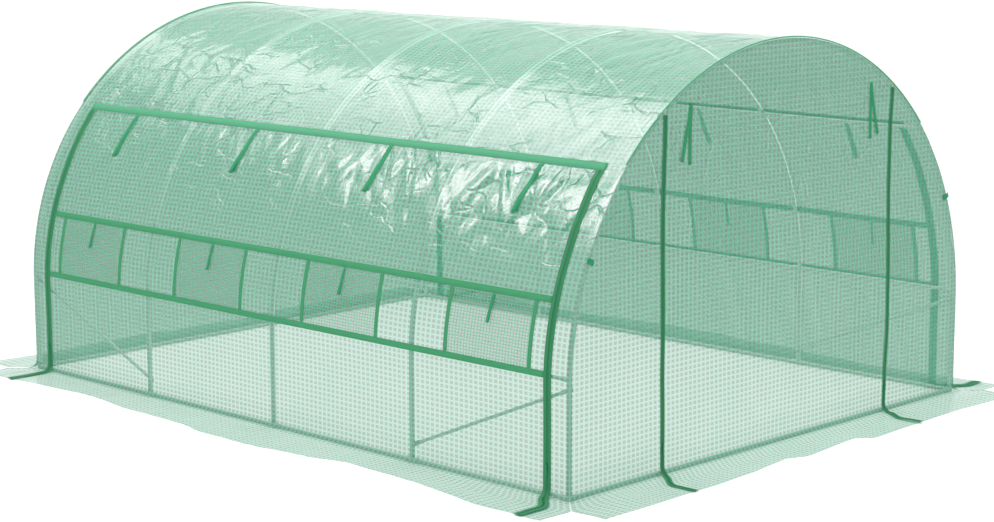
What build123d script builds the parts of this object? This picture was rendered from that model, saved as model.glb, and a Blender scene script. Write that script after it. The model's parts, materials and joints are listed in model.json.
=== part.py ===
"""Polytunnel greenhouse: five tube hoops, rails and braces under a film cover.

X runs across the width, Y along the length, Z up. The door end faces -Y.
The origin is on the floor, in the middle of the plan.
"""
from build123d import *
from math import atan2, cos, degrees, hypot, pi, radians, sin, sqrt
import os

os.makedirs("parts", exist_ok=True)

# Frame
half_width = 1500.0        # from the middle to a leg's centre-line
leg_height = 500.0         # straight part of a leg
apex_height = 1950.0       # ridge, at the tube's centre-line
half_length = 2000.0       # from the middle to an end hoop
bay_count = 4
hoop_dia = 25.0
rail_dia = 19.0
brace_dia = 16.0
tube_flats = 8             # round tube is drawn with flats, which keeps the model light
socket_dia = 24.0          # sleeve welded to a hoop, which takes a rail's end
socket_reach = 42.0        # from the hoop's centre-line to the sleeve's mouth
socket_floor = 15.0        # from the hoop's centre-line to the end of the bore
socket_play = 0.3          # radial clearance round a rail
joint_above_rail = 52.0    # from a rail up the wall to the joint between two hoop tubes
spigot_dia = 19.6          # swaged end of a hoop tube, which sits in the tube below
spigot_length = 30.0
spigot_play = 0.3
base_rail_height = 12.5
mid_rail_up_wall = 550.0
brace_low = 85.0
brace_high = 505.0
brace_tab = 3.0            # flattened end of a brace
brace_tab_width = 22.0
brace_tab_end = 8.0        # from the bolt to the tab's end
brace_tab_reach = 48.0     # from the bolt to the round part
bolt_dia = 11.0
bolt_head = 5.0

# Cover
film_gap = 0.5             # between a tube and the film
film = 2.0
clear = 0.3                # between two pieces that touch
tape = 1.5
seam_up_wall = 1538.0      # top seam, along the wall from the ground
seam_tape_width = 42.0
window_low = 556.0         # lower and upper tape of the windows, along the wall
window_high = 890.0
sill_tape_width = 32.0
head_tape_width = 38.0
post_width = 22.0
window_width = 532.0       # between the middles of its two posts, in the middle of a bay
window_tuck = 7.0          # from a post's middle to the edge of the opening
side_zip_from_end = 135.0  # from the end sheet to a side zip
side_zip_width = 48.0
door_zip_width = 30.0
zip_gap = 6.0              # between the two sheets that a zip joins
door_zip_x = 880.0
skirt_side_reach = 1795.0
skirt_end_reach = 2290.0
skirt_side_end = 2079.0
skirt_end_side = 1592.0

# Ties and trim
tie_width = 22.0
roll_tie_length = 262.0
window_tie_length = 135.0
window_tie_width = 16.0
door_tie_x = 700.0
door_tie_drop = 90.0       # from the arch down to the ties' sewn ends
door_tie_length = 280.0
door_tie_shift = 62.0
piping_dia = 7.0
tab_up_wall = 1083.0
tab_width = 46.0
tab_height = 28.0

# The arch is three arcs: two shoulders and a flatter crown, tangent at 45 degrees.
centre = (leg_height + half_width - apex_height) / (2 - sqrt(2))
shoulder_r = half_width - centre
crown_r = shoulder_r + centre * sqrt(2)
crown_z = leg_height - centre

film_in = hoop_dia / 2 + film_gap
film_out = film_in + film
on_film = film_out + clear
end_in = half_length + film_in
end_out = half_length + film_out
bay = 2 * half_length / bay_count
hoop_y = [-half_length + bay * i for i in range(bay_count + 1)]
side_zip_y = end_out - side_zip_from_end
socket_bore = rail_dia + 2 * socket_play
wall_s = hoop_dia / 2      # the wall is measured along the outside of the tubes


def at_wall(s, off, side):
    """Point of the section, s up the wall and off outside the tube's centre-line."""
    if s <= leg_height:
        return (side * (half_width + off), s)
    a = (s - leg_height) / (shoulder_r + wall_s)
    r = shoulder_r + off
    return (side * (centre + r * cos(a)), leg_height + r * sin(a))


def wall_line(low, high, off, side):
    """Draws the section's line from low to high up one wall."""
    if low < leg_height:
        Line(at_wall(low, off, side), at_wall(min(leg_height, high), off, side))
        low = leg_height
    if high > low:
        mid = (low + high) / 2
        ThreePointArc(at_wall(low, off, side), at_wall(mid, off, side), at_wall(high, off, side))


def wall_band(low, high, inner, outer, side):
    """Face of a layer lying on one wall."""
    with BuildLine() as outline:
        wall_line(low, high, inner, side)
        wall_line(low, high, outer, side)
        Line(at_wall(low, inner, side), at_wall(low, outer, side))
        Line(at_wall(high, inner, side), at_wall(high, outer, side))
    make_face(outline.edges())


def crown_point(a, off):
    return ((crown_r + off) * cos(a), crown_z + (crown_r + off) * sin(a))


def arch_line(start, off):
    """Draws the section's line from start on the right wall, over the ridge, to the left."""
    join = leg_height + pi / 4 * (shoulder_r + wall_s)
    wall_line(start, join, off, 1)
    ThreePointArc(crown_point(pi / 4, off), crown_point(pi / 2, off), crown_point(3 * pi / 4, off))
    wall_line(start, join, off, -1)


def section(y):
    """Plane of a cross-section, drawn with x to the right and z up, facing -Y."""
    return Plane(origin=(0, y, 0), x_dir=(1, 0, 0), z_dir=(0, -1, 0))


def along(y_low, y_high):
    """Section plane at y_high, from which an extrusion runs to y_low."""
    return section(y_high), y_high - y_low


def tube(dia):
    """Outline of a round tube, its flats square to the axes and as far apart as dia."""
    RegularPolygon(dia / 2, tube_flats, major_radius=False, rotation=180 / tube_flats)


seam_mid = at_wall(seam_up_wall, 0.0, 1)
mid_rail = at_wall(mid_rail_up_wall, 0.0, 1)
rail_spots = [
    (0.0, apex_height),
    (-seam_mid[0], seam_mid[1]),
    (seam_mid[0], seam_mid[1]),
    (-mid_rail[0], mid_rail[1]),
    (mid_rail[0], mid_rail[1]),
    (-half_width, base_rail_height),
    (half_width, base_rail_height),
]
rail_names = [
    "ridge_rail",
    "shoulder_rail_left",
    "shoulder_rail_right",
    "mid_rail_left",
    "mid_rail_right",
    "base_rail_left",
    "base_rail_right",
]

leg_joint = mid_rail_up_wall + joint_above_rail
crown_joint = seam_up_wall + joint_above_rail


def bend(path, dia, mode=Mode.ADD):
    """Tube along a line of the section."""
    wire = path.wires()[0]
    with BuildSketch(Plane(origin=wire @ 0, x_dir=(0, 1, 0), z_dir=wire % 0)) as profile:
        tube(dia)
    sweep(sections=profile.sketch, path=wire, mode=mode)


# Hoops: two legs, two bent shoulders and a crown. Each tube's swaged ends sit in the tube
# below, and a socket is welded on wherever a rail meets the hoop.
for i, y in enumerate(hoop_y):
    first, last = i == 0, i == bay_count
    with BuildPart() as hoop:
        for side in (-1, 1):
            for low, high in (
                (0.0, leg_joint - clear),
                (leg_joint, crown_joint - clear),
            ):
                with BuildLine(section(y)) as path:
                    wall_line(low, high, 0.0, side)
                bend(path, hoop_dia)
        with BuildLine(section(y)) as path:
            arch_line(crown_joint, 0.0)
        bend(path, hoop_dia)
        for side in (-1, 1):
            for joint in (leg_joint, crown_joint):
                with BuildLine(section(y)) as path:
                    wall_line(joint - spigot_length - 2 * clear, joint - clear, 0.0, side)
                bend(path, spigot_dia + 2 * spigot_play, mode=Mode.SUBTRACT)
                with BuildLine(section(y)) as path:
                    wall_line(joint - spigot_length, joint, 0.0, side)
                bend(path, spigot_dia)
        reach_low = 0.0 if first else socket_reach
        reach_high = 0.0 if last else socket_reach
        for x, z in rail_spots:
            with BuildSketch(section(y + reach_high)):
                with Locations((x, z)):
                    tube(socket_dia)
            extrude(amount=reach_low + reach_high)
        for x, z in rail_spots:
            for way in (-1, 1):
                if (way < 0 and first) or (way > 0 and last):
                    continue
                with BuildSketch(section(y + way * socket_reach)):
                    with Locations((x, z)):
                        tube(socket_bore)
                extrude(amount=way * (socket_reach - socket_floor), mode=Mode.SUBTRACT)
        if first or last:
            for side in (-1, 1):
                mouth = side * (half_width - socket_reach)
                face = Plane(origin=(mouth, y, base_rail_height), z_dir=(side, 0, 0))
                with BuildSketch(face):
                    tube(socket_dia)
                extrude(amount=socket_reach)
                with BuildSketch(face):
                    tube(socket_bore)
                extrude(amount=socket_reach - socket_floor, mode=Mode.SUBTRACT)
    hoop.part.label = f"hoop_{i + 1}"
    export_step(hoop.part, f"parts/hoop_{i + 1}.step")

# Rails along the tunnel: a tube in each bay, its ends in the hoops' sockets.
for name, (x, z) in zip(rail_names, rail_spots):
    with BuildPart() as rail:
        for y_low, y_high in zip(hoop_y, hoop_y[1:]):
            plane, length = along(y_low + socket_floor + clear, y_high - socket_floor - clear)
            with BuildSketch(plane):
                with Locations((x, z)):
                    tube(rail_dia)
            extrude(amount=length)
    rail.part.label = name
    export_step(rail.part, f"parts/{name}.step")

# Rails across the two ends, at the foot.
for name, y in (("end_rail_front", -half_length), ("end_rail_back", half_length)):
    reach = half_width - socket_floor - clear
    with BuildPart() as end_rail:
        with BuildSketch(Plane(origin=(-reach, y, base_rail_height), z_dir=(1, 0, 0))):
            tube(rail_dia)
        extrude(amount=2 * reach)
    end_rail.part.label = name
    export_step(end_rail.part, f"parts/{name}.step")

# Braces: flattened at both ends and bolted to the inner side of the legs.
brace_rise = brace_high - brace_low
brace_length = hypot(bay, brace_rise)
tab_off = hoop_dia / 2 + clear
for name, side in (("braces_left", -1), ("braces_right", 1)):
    with BuildPart() as braces:
        for end in (-1, 1):
            low = (end * (half_length - bay), brace_low)
            lean = atan2(brace_rise, bay)
            way = Vector(0, end * cos(lean), sin(lean))
            plane = Plane(
                origin=(side * (half_width - tab_off), low[0], low[1]),
                x_dir=way,
                z_dir=(-side, 0, 0),
            )
            with BuildSketch(plane):
                tab_ends = (-brace_tab_end, brace_tab_reach)
                for low_end, high_end in (
                    tab_ends,
                    [brace_length - reach for reach in reversed(tab_ends)],
                ):
                    with Locations(((low_end + high_end) / 2, 0)):
                        Rectangle(high_end - low_end, brace_tab_width)
            extrude(amount=brace_tab)
            with BuildSketch(plane.offset(brace_tab)):
                with Locations((0, 0), (brace_length, 0)):
                    tube(bolt_dia)
            extrude(amount=bolt_head)
            start = plane.offset(brace_tab / 2).origin + way * (brace_tab_reach - 4)
            with BuildSketch(Plane(origin=start, z_dir=way)):
                tube(brace_dia)
            extrude(amount=brace_length - 2 * brace_tab_reach + 8)
    braces.part.label = name
    export_step(braces.part, f"parts/{name}.step")

# Roof sheet, between the two top seams.
with BuildPart() as roof_sheet:
    plane, length = along(-end_out, end_out)
    with BuildSketch(plane):
        with BuildLine():
            arch_line(seam_up_wall, film_in)
            arch_line(seam_up_wall, film_out)
            for side in (-1, 1):
                Line(
                    at_wall(seam_up_wall, film_in, side),
                    at_wall(seam_up_wall, film_out, side),
                )
        make_face()
    extrude(amount=length)
roof_sheet.part.label = "roof_sheet"
export_step(roof_sheet.part, "parts/roof_sheet.step")

seam_low = seam_up_wall - clear
bay_middles = [y + bay / 2 for y in hoop_y[:-1]]
window_pairs = [(y - window_width / 2, y + window_width / 2) for y in bay_middles]
open_low = window_low + window_tuck
open_high = window_high - window_tuck
for word, side in (("left", -1), ("right", 1)):
    # Roll-up side panel with its four window openings.
    with BuildPart() as side_panel:
        plane, length = along(-side_zip_y + zip_gap / 2, side_zip_y - zip_gap / 2)
        with BuildSketch(plane):
            wall_band(0.0, seam_low, film_in, film_out, side)
        extrude(amount=length)
        for y_low, y_high in window_pairs:
            plane, length = along(y_low + window_tuck, y_high - window_tuck)
            with BuildSketch(plane):
                wall_band(open_low, open_high, film_in - 4, film_out + 4, side)
            extrude(amount=length, mode=Mode.SUBTRACT)
    side_panel.part.label = f"side_panel_{word}"
    export_step(side_panel.part, f"parts/side_panel_{word}.step")

    # Mesh windows, sewn in behind the tapes.
    with BuildPart() as windows:
        for y_low, y_high in window_pairs:
            tuck = window_tuck + clear
            plane, length = along(y_low + tuck, y_high - tuck)
            with BuildSketch(plane):
                wall_band(open_low + clear, open_high - clear, film_in + 0.4, film_out - 0.4, side)
            extrude(amount=length)
    windows.part.label = f"windows_{word}"
    export_step(windows.part, f"parts/windows_{word}.step")

    # Tapes round the windows: two along the wall and eight posts between them.
    with BuildPart() as window_band:
        band_end = side_zip_y - side_zip_width / 2 - clear
        plane, length = along(-band_end, band_end)
        for s, width in ((window_low, sill_tape_width), (window_high, head_tape_width)):
            with BuildSketch(plane):
                wall_band(
                    s - width / 2,
                    s + width / 2,
                    on_film,
                    on_film + tape,
                    side,
                )
            extrude(amount=length)
        for y in [edge for pair in window_pairs for edge in pair]:
            post_plane, post_length = along(y - post_width / 2, y + post_width / 2)
            with BuildSketch(post_plane):
                wall_band(window_low, window_high, on_film, on_film + tape, side)
            extrude(amount=post_length)
    window_band.part.label = f"window_band_{word}"
    export_step(window_band.part, f"parts/window_band_{word}.step")

    # Tape over the top seam, from one side zip to the other.
    with BuildPart() as seam_tape:
        tape_end = side_zip_y + side_zip_width / 2
        plane, length = along(-tape_end, tape_end)
        with BuildSketch(plane):
            wall_band(
                seam_up_wall - seam_tape_width / 2,
                seam_up_wall + seam_tape_width / 2,
                on_film,
                on_film + tape,
                side,
            )
        extrude(amount=length)
    seam_tape.part.label = f"seam_tape_{word}"
    export_step(seam_tape.part, f"parts/seam_tape_{word}.step")

    # Zips down the two ends of the side panel.
    with BuildPart() as side_zips:
        for end in (-1, 1):
            middle = end * side_zip_y
            plane, length = along(middle - side_zip_width / 2, middle + side_zip_width / 2)
            with BuildSketch(plane):
                wall_band(
                    8.0,
                    seam_up_wall - seam_tape_width / 2 - clear,
                    on_film,
                    on_film + tape,
                    side,
                )
            extrude(amount=length)
    side_zips.part.label = f"side_zips_{word}"
    export_step(side_zips.part, f"parts/side_zips_{word}.step")

    # Corner strips, from a side zip to the end of the tunnel.
    for place, end in (("front", -1), ("back", 1)):
        inner, outer = side_zip_y + zip_gap / 2, end_out
        low, high = (inner, outer) if end > 0 else (-outer, -inner)
        with BuildPart() as corner:
            plane, length = along(low, high)
            with BuildSketch(plane):
                wall_band(0.0, seam_low, film_in, film_out, side)
            extrude(amount=length)
        corner.part.label = f"corner_strip_{word}_{place}"
        export_step(corner.part, f"parts/corner_strip_{word}_{place}.step")

    # Skirt lying on the ground along the side.
    with BuildPart() as skirt:
        near = half_width + film_out + clear
        with BuildSketch():
            Polygon(
                (side * near, -end_out),
                (side * skirt_side_reach, -skirt_side_end),
                (side * skirt_side_reach, skirt_side_end),
                (side * near, end_out),
                align=None,
            )
        extrude(amount=film)
    skirt.part.label = f"skirt_{word}"
    export_step(skirt.part, f"parts/skirt_{word}.step")

# Ends. The face's edge stays inside the roof sheet.
end_edge = film_in - clear


def end_face(x_low, x_high):
    """Face of an end sheet between two upright lines."""
    with BuildLine() as outline:
        arch_line(0.0, end_edge)
        Line(at_wall(0.0, end_edge, -1), at_wall(0.0, end_edge, 1))
    make_face(outline.edges())
    with Locations(((x_low + x_high) / 2, apex_height / 2)):
        Rectangle(x_high - x_low, 2 * apex_height, mode=Mode.INTERSECT)


zip_half = zip_gap / 2
for name, low, high in (
    ("front_panel_left", -2 * half_width, -door_zip_x - zip_half),
    ("door_panel", -door_zip_x + zip_half, door_zip_x - zip_half),
    ("front_panel_right", door_zip_x + zip_half, 2 * half_width),
):
    with BuildPart() as front:
        with BuildSketch(section(-end_in)):
            end_face(low, high)
        extrude(amount=film)
    front.part.label = name
    export_step(front.part, f"parts/{name}.step")

with BuildPart() as back_panel:
    with BuildSketch(section(end_out)):
        end_face(-2 * half_width, 2 * half_width)
    extrude(amount=film)
back_panel.part.label = "back_panel"
export_step(back_panel.part, "parts/back_panel.step")

for name, end in (("skirt_front", -1), ("skirt_back", 1)):
    near = end_out + clear
    with BuildPart() as skirt:
        with BuildSketch():
            Polygon(
                (-half_width - film_out, end * near),
                (-skirt_end_side, end * skirt_end_reach),
                (skirt_end_side, end * skirt_end_reach),
                (half_width + film_out, end * near),
                align=None,
            )
        extrude(amount=film)
    skirt.part.label = name
    export_step(skirt.part, f"parts/{name}.step")

# Door zips, from the foot of the sheet up to the arch.
door_zip_top = crown_z + sqrt((crown_r + end_edge) ** 2 - (door_zip_x + door_zip_width) ** 2) - 4
with BuildPart() as door_zips:
    with BuildSketch(section(-end_out - clear)):
        with Locations((-door_zip_x, (8 + door_zip_top) / 2), (door_zip_x, (8 + door_zip_top) / 2)):
            Rectangle(door_zip_width, door_zip_top - 8)
    extrude(amount=tape)
door_zips.part.label = "door_zips"
export_step(door_zips.part, "parts/door_zips.step")

# Ties that hold the rolled-up sides, sewn under the top seam.
tie_top = seam_up_wall - seam_tape_width / 2 - clear
with BuildPart() as roll_ties:
    for side in (-1, 1):
        for y in bay_middles:
            plane, length = along(y - tie_width / 2, y + tie_width / 2)
            with BuildSketch(plane):
                wall_band(tie_top - roll_tie_length, tie_top, on_film, on_film + tape, side)
            extrude(amount=length)
roll_ties.part.label = "roll_ties"
export_step(roll_ties.part, "parts/roll_ties.step")

# A short tie below the upper tape of each window.
window_tie_top = window_high - head_tape_width / 2 - clear
with BuildPart() as window_ties:
    for side in (-1, 1):
        for y_low, y_high in window_pairs:
            y = (y_low + y_high) / 2
            plane, length = along(y - window_tie_width / 2, y + window_tie_width / 2)
            with BuildSketch(plane):
                wall_band(
                    window_tie_top - window_tie_length,
                    window_tie_top,
                    on_film,
                    on_film + tape,
                    side,
                )
            extrude(amount=length)
window_ties.part.label = "window_ties"
export_step(window_ties.part, "parts/window_ties.step")

door_tie_top = crown_z + sqrt((crown_r + end_edge) ** 2 - door_tie_x**2) - door_tie_drop

# Two pairs of straps that hold the rolled-up door: one hangs straight, one leans out.
with BuildPart() as door_ties:
    for side in (-1, 1):
        x, z, low = side * door_tie_x, door_tie_top, door_tie_top - door_tie_length
        w = tie_width / 2
        with BuildSketch(section(-end_out - clear)):
            Polygon((x - w, z), (x + w, z), (x + w, low), (x - w, low), align=None)
            shift = side * door_tie_shift
            Polygon(
                (x - w, z),
                (x + w, z),
                (x + w + shift, low + 22),
                (x - w + shift, low + 22),
                align=None,
            )
        extrude(amount=tape)
door_ties.part.label = "door_ties"
export_step(door_ties.part, "parts/door_ties.step")

# Piping along the two arched edges.
with BuildPart() as piping:
    off = film_out + clear + piping_dia / 2
    for y in (-end_out + piping_dia / 2, end_out - piping_dia / 2):
        with BuildLine(section(y)) as path:
            arch_line(seam_up_wall + seam_tape_width / 2 + clear, off)
        start = path.wires()[0] @ 0
        with BuildSketch(Plane(origin=start, z_dir=path.wires()[0] % 0)):
            tube(piping_dia)
        sweep(path=path.wires()[0])
piping.part.label = "piping"
export_step(piping.part, "parts/piping.step")

# Webbing tabs on the front edge, half-way up the arch.
with BuildPart() as tabs:
    with BuildSketch(section(-end_out - clear)):
        with Locations(at_wall(tab_up_wall, 0.0, -1), at_wall(tab_up_wall, 0.0, 1)):
            Rectangle(tab_width, tab_height)
    extrude(amount=tape)
tabs.part.label = "edge_tabs"
export_step(tabs.part, "parts/edge_tabs.step")
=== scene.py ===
# %% [markdown]
# # A film-covered garden tunnel
#
# The tunnel is five steel hoops joined by rails, with a reinforced polythene cover
# pulled over them. The CAD model fixes every size; here each part gets the shape and
# finish that it has in use. Lengths are in metres, X runs across the tunnel, Y along
# it and Z up, and the door end faces -Y.

import json
import math

import bpy
import numpy as np
from mathutils import Matrix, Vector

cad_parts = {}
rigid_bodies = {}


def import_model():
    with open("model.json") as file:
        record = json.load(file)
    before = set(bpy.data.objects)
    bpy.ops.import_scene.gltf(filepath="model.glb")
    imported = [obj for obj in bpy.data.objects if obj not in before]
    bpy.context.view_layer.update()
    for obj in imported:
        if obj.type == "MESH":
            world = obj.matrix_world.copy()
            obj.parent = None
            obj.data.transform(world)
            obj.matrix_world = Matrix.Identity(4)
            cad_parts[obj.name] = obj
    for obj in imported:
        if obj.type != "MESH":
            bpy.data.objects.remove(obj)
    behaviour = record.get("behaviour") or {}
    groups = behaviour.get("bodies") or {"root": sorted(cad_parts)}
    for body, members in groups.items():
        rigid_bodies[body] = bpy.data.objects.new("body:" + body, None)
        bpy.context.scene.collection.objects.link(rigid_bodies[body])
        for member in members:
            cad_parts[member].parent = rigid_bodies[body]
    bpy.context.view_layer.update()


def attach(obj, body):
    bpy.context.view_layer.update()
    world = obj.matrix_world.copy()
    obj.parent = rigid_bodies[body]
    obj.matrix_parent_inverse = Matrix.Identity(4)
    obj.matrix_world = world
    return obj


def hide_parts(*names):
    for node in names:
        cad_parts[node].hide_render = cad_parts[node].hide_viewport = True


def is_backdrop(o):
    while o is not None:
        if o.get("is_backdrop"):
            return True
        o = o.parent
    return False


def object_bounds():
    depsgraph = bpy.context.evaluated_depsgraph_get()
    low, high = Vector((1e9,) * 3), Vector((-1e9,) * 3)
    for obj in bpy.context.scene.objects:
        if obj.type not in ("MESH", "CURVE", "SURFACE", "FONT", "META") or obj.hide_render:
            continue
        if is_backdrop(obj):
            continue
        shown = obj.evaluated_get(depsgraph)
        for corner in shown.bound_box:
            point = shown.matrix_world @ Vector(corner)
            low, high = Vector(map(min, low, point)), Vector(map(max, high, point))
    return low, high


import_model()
scene = bpy.context.scene

# %% [markdown]
# ## The section
#
# A hoop is two upright legs, two shoulders and a flatter crown, all tangent. The cover
# has the same section, so one function gives it: `s` is the length up the wall from
# the ground, and `off` the distance outside the tubes' centre-line. Below the ground
# line the sheet bends outwards and lies on the floor as a skirt. A curve object could
# hold the shape too, but a function also tells every tape and tie where the film is.

# %% Section of the wall
half_width, leg_height, apex_height, half_length = 1.5, 0.5, 1.95, 2.0
hoop_r = 0.0125
film_mid = 0.014      # the cover's middle, outside the tubes' centre-line
bend_r = 0.045        # bend from the wall to the skirt
ground_lift = 0.003   # a sheet that lies on the floor

centre_x = (leg_height + half_width - apex_height) / (2 - 2**0.5)
shoulder_r = half_width - centre_x
crown_r = shoulder_r + centre_x * 2**0.5
crown_z = leg_height - centre_x
s_join = leg_height + math.pi / 4 * (shoulder_r + hoop_r)
s_ridge = s_join + math.pi / 4 * (crown_r + hoop_r)
s_flat = bend_r * (1 - math.pi / 2)
end_y = half_length + film_mid


def bend_turn(s):
    """Turn round the bend at the foot: 0 on the wall and a right angle on the floor."""
    return np.clip((bend_r - np.asarray(s, float)) / bend_r, 0, math.pi / 2)


def gone_out(s):
    """Distance beyond the wall's plane of a point at s, round the bend and over the floor."""
    return bend_r * (1 - np.cos(bend_turn(s))) + np.maximum(s_flat - np.asarray(s, float), 0)


def wall(s, off, side):
    """x, z and the outward normal of the section, for arrays of s and off."""
    s, off = np.broadcast_arrays(np.asarray(s, float), np.asarray(off, float))
    down = bend_turn(s)
    a = np.clip((s - leg_height) / (shoulder_r + hoop_r), 0, math.pi / 4)
    b = np.maximum(s - s_join, 0) / (crown_r + hoop_r)
    crown = s > s_join
    turn = a + b
    r = np.where(crown, crown_r, shoulder_r) + film_mid
    x = np.where(crown, 0.0, centre_x) + r * np.cos(turn) + gone_out(s)
    z = np.where(crown, crown_z, np.clip(s, bend_r, leg_height)) + r * np.sin(turn)
    z = z + (ground_lift - bend_r) * np.sin(down)
    nx, nz = np.cos(turn + down), np.sin(turn + down)
    out = off - film_mid
    return side * (x + out * nx), z + out * nz, side * nx, nz


def arch_z(x):
    """Height of the cover's middle above a place on the floor."""
    x = np.abs(np.asarray(x, float))
    knee = (crown_r + film_mid) / 2**0.5
    r1, r2 = shoulder_r + film_mid, crown_r + film_mid
    low = leg_height + np.sqrt(np.maximum(r1**2 - (x - centre_x) ** 2, 0))
    high = crown_z + np.sqrt(np.maximum(r2**2 - x**2, 0))
    return np.where(x > knee, low, high)


print("ridge at s =", round(s_ridge, 3), "and z =", round(float(arch_z(0.0)), 3))

# %% [markdown]
# ## How the film lies
#
# Thin film never lies smooth. It sags a little between the hoops, is drawn into small
# puckers beside a sewn seam, and keeps sharp facets from having been folded in its box.
# A cloth simulation could find such shapes, but it is slow and puts the folds where it
# likes. Here they are a height outwards from the section, worked out by smooth noise
# with fixed seeds, so every piece that lies on the film can use the same height.

# %% Film relief
hoop_y = [-2.0, -1.0, 0.0, 1.0, 2.0]
base_rail_z, mid_rail_s, seam_s = 0.0125, 0.55, 1.538
window_low, window_high, window_width = 0.556, 0.890, 0.532
side_zip_y, door_zip_x = 1.880, 0.880
bay_middles = [-1.5, -0.5, 0.5, 1.5]
window_posts = [m + e * window_width / 2 for m in bay_middles for e in (-1, 1)]
both_sides = (("left", -1), ("right", 1))
sag_foot, sag_panel, sag_roof, sag_all = 0.003, 0.011, 0.016, 0.0025
swell_height, pucker_height = 0.004, 0.0046
# Facets of old folds: their lean, height, and length along and across it.
facets = ((0.55, 0.0062, 0.075, 0.26), (-0.35, 0.0040, 0.05, 0.19))


def smooth(t):
    """0 below 0, 1 above 1, and a soft step between them."""
    t = np.clip(t, 0, 1)
    return t * t * (3 - 2 * t)


noise_cells = 97   # the noise repeats after this many


def noise(u, v, seed):
    """Smooth noise from -1 to 1 with cells one unit wide."""
    grid = np.random.default_rng(seed).uniform(-1, 1, (noise_cells, noise_cells))
    u, v = np.broadcast_arrays(np.asarray(u, float), np.asarray(v, float))
    i, j = np.floor(u).astype(int), np.floor(v).astype(int)
    a, b = smooth(u - i), smooth(v - j)

    def at(m, n):
        return grid[m % noise_cells, n % noise_cells]

    low = at(i, j) * (1 - a) + at(i + 1, j) * a
    high = at(i, j + 1) * (1 - a) + at(i + 1, j + 1) * a
    return low * (1 - b) + high * b


def ridged(u, v, seed):
    """Noise with sharp valleys, from -0.8 to 1.2."""
    return 2 * np.abs(noise(u, v, seed)) - 0.8


def turned(u, v, angle):
    """Places along and across a direction that leans by angle."""
    c, s = math.cos(angle), math.sin(angle)
    return u * c + v * s, v * c - u * s


def span(y):
    """0 on a hoop and 1 half-way to the next."""
    return np.abs(np.sin(math.pi * np.clip(y, -2, 2))) ** 0.8


def seam_calm(s):
    """0 where the film is sewn flat at the top seam, and 1 from 74 mm off."""
    return smooth((np.abs(s - seam_s) - 0.014) / 0.06)


def lying_down(s):
    """0 on an upright sheet and 1 where it lies on the floor."""
    return smooth((0.03 - s) / 0.09)


def creases(u, v, count, seed, box, sizes, height, width):
    """Short, slightly bent creases scattered over a box of the sheet."""
    rng = np.random.default_rng(seed)
    total = np.zeros(np.broadcast(u, v).shape)
    for _ in range(count):
        cu, cv = rng.uniform(box[0], box[1]), rng.uniform(box[2], box[3])
        angle = rng.choice([rng.normal(0.1, 0.3), rng.normal(1.0, 0.4), rng.normal(-0.9, 0.4)])
        half = rng.uniform(*sizes) / 2
        h = rng.uniform(0.4, 1.0) * height * rng.choice([-1, 1])
        w = rng.uniform(0.7, 1.6) * width
        near = np.hypot(u - cu, v - cv) < half + 5 * w
        p, q = turned((u - cu)[near], (v - cv)[near], angle)
        q = q + 0.12 * half * np.sin(2.2 * p / half)
        ends = smooth(1.2 - np.abs(p) / half)
        total[near] += h * ends * (np.exp(-np.abs(q) / w) - 0.35 * np.exp(-((q / (3 * w)) ** 2)))
    return total


def wall_relief(s, y, side):
    """Height of the film over its plain section, on one side of the tunnel."""
    s, y = np.broadcast_arrays(np.asarray(s, float), np.asarray(y, float))
    k = 100 if side < 0 else 200
    on_roof = s > seam_s
    low = np.clip((s - 0.05) / 0.5, 0, 1)
    mid = np.clip((s - mid_rail_s) / (seam_s - mid_rail_s), 0, 1)
    top = np.clip((s - seam_s) / (s_ridge - seam_s), 0, 1)
    hang = sag_foot * np.sin(math.pi * low) ** 2 + sag_panel * np.sin(math.pi * mid) ** 2
    hang = hang + sag_roof * np.sin(math.pi * top) ** 2 + sag_all
    free = span(y)
    h = -hang * free
    # Broad swells and the facets of old folds lean along the shoulder; the seam stays calm.
    rise, calm = smooth((s - 0.80) / 0.55), seam_calm(s)
    loose = calm * np.where(on_roof, 0.4, rise * (0.55 + 0.6 * smooth((0.6 - y) / 1.6)))
    swell = calm * np.where(on_roof, 0.8, rise)
    h = h + swell * free * swell_height * noise(y / 0.28, s / 0.3, k + 1)
    for seed, (angle, height, length, width) in enumerate(facets, k + 2):
        p, q = turned(y, s, angle)
        h = h + loose * (0.25 + 0.75 * free) * height * ridged(p / length, q / width, seed)
    # Puckers square to the top seam start at the edge of its tape.
    d = np.maximum(np.abs(s - seam_s) - 0.021, 0)
    reach = np.clip(d / 0.018, 0, 1) * np.exp(-d / np.where(on_roof, 0.055, 0.085))
    lean = y + 0.35 * (s - seam_s)
    h = h + reach * pucker_height * ridged(lean / 0.036, s / 0.4, k + 4)
    # A sheet that lies on the floor is wavy, and never goes below it.
    lying = lying_down(s)
    wave = 0.004 + 0.0045 * noise(y / 0.22, s / 0.12, k + 5)
    wave = wave + 0.0015 * ridged(y / 0.07, s / 0.1, k + 6)
    return h * (1 - lying) + lying * np.maximum(wave, 0.0)


def end_relief(x, z, seed):
    """Height of an end sheet over its plane."""
    edge = smooth(np.minimum(arch_z(x) - z, half_width - np.abs(x)) / 0.25)
    p, q = turned(x, z, 0.35)
    h = 0.008 * edge * noise(x / 0.45, z / 0.6, seed) + 0.0022 * ridged(p / 0.14, q / 0.5, seed + 1)
    lying = lying_down(z)
    wave = 0.004 + 0.004 * noise(x / 0.25, z / 0.12, seed + 2)
    return (h - 0.003 * edge) * (1 - lying) + lying * np.maximum(wave, 0)


print("sag between hoops", round(float(-wall_relief(1.0, 0.5, 1)) * 1000, 1), "mm")

# %% [markdown]
# ## Meshes from grids and ribbons
#
# A sheet is a grid of points with its size in metres as its UV map, so the woven
# reinforcement keeps its real pitch everywhere, which unwrapping afterwards wouldn't
# give. A tape or strap is a ribbon: a thin rounded bar that follows a line, turned to
# the surface that it is sewn to. A flat strip would show no edge in a close view.


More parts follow.
